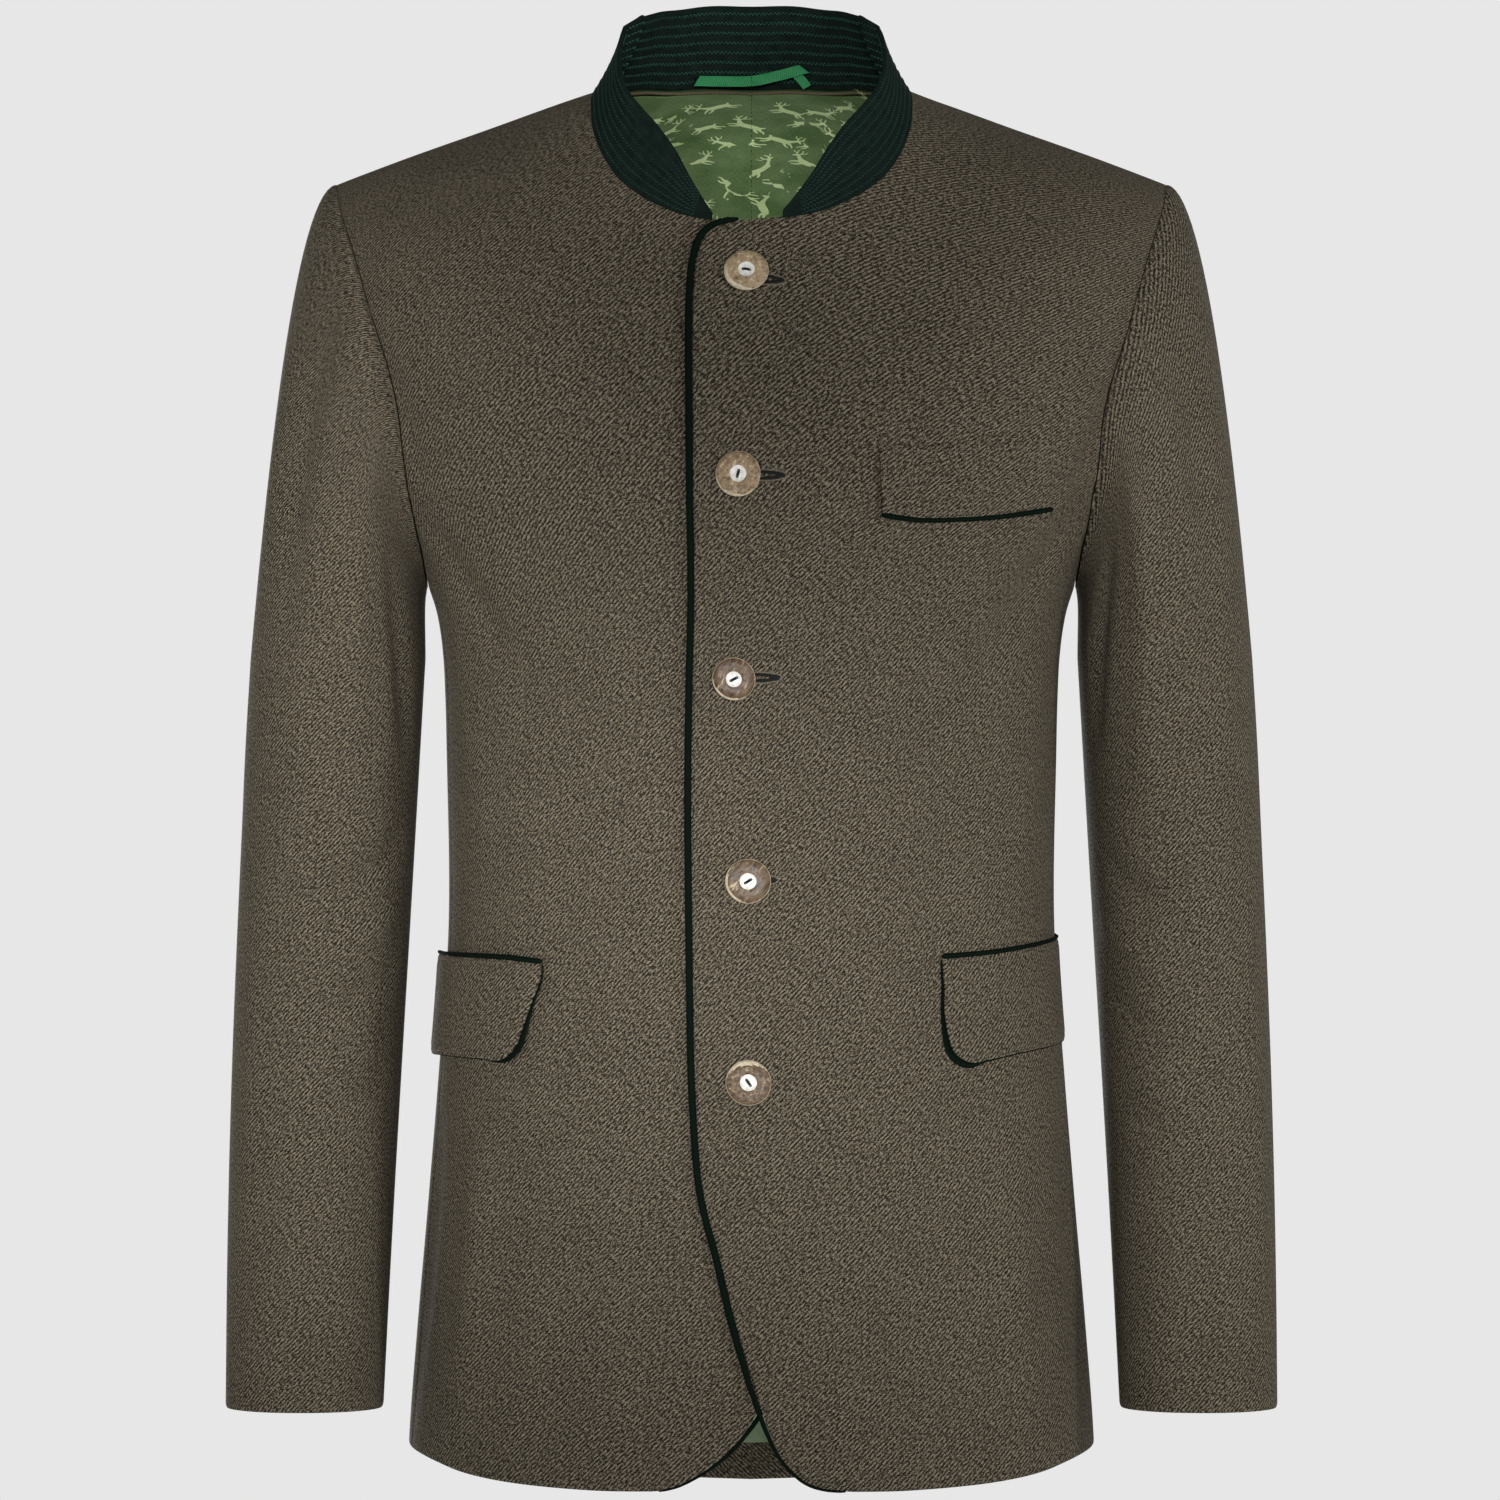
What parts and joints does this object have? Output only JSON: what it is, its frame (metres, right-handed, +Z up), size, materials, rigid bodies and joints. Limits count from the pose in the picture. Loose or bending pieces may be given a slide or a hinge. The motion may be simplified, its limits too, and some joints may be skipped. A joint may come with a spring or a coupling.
{
  "type": "jacket",
  "caption": "Hollow worn-shape wool jacket with a dark stand collar, piped front edges, pocket flaps and horn buttons, closed left over right.",
  "frame": {"origin": "midway between the two points where the shoulder seams meet the collar, level with them, over the middle of the wearer's shoulders", "axes": "+Z up along the body, +X to the wearer's left, -Y out of the front; the front with its buttons looks along -Y"},
  "size_m": [0.5586, 0.2976, 0.8041],
  "materials": {
    "outer_cloth": "napped heathered taupe twill",
    "collar_cloth": "dense dark green melton",
    "piping_cord": "dark green covered cord",
    "lining_cloth": "smooth green figured lining",
    "loop_ribbon": "bright green ribbon",
    "button_horn": "polished antler with a pale centre"
  },
  "bodies": {
    "root": {"front_left": "outer_cloth", "front_right": "outer_cloth", "side_left": "outer_cloth", "side_right": "outer_cloth", "back_left": "outer_cloth", "back_right": "outer_cloth", "sleeve_left_top": "outer_cloth", "sleeve_left_under": "outer_cloth", "sleeve_right_top": "outer_cloth", "sleeve_right_under": "outer_cloth", "chest_flap": "outer_cloth", "hip_flap_left": "outer_cloth", "hip_flap_right": "outer_cloth", "collar": "collar_cloth", "piping_front_left": "piping_cord", "piping_front_right": "piping_cord", "piping_chest": "piping_cord", "piping_hip_left": "piping_cord", "piping_hip_right": "piping_cord", "back_lining": "lining_cloth", "hanger_loop": "loop_ribbon", "button_1": "button_horn", "button_2": "button_horn", "button_3": "button_horn", "button_4": "button_horn", "button_5": "button_horn"}
  },
  "joints": []
}
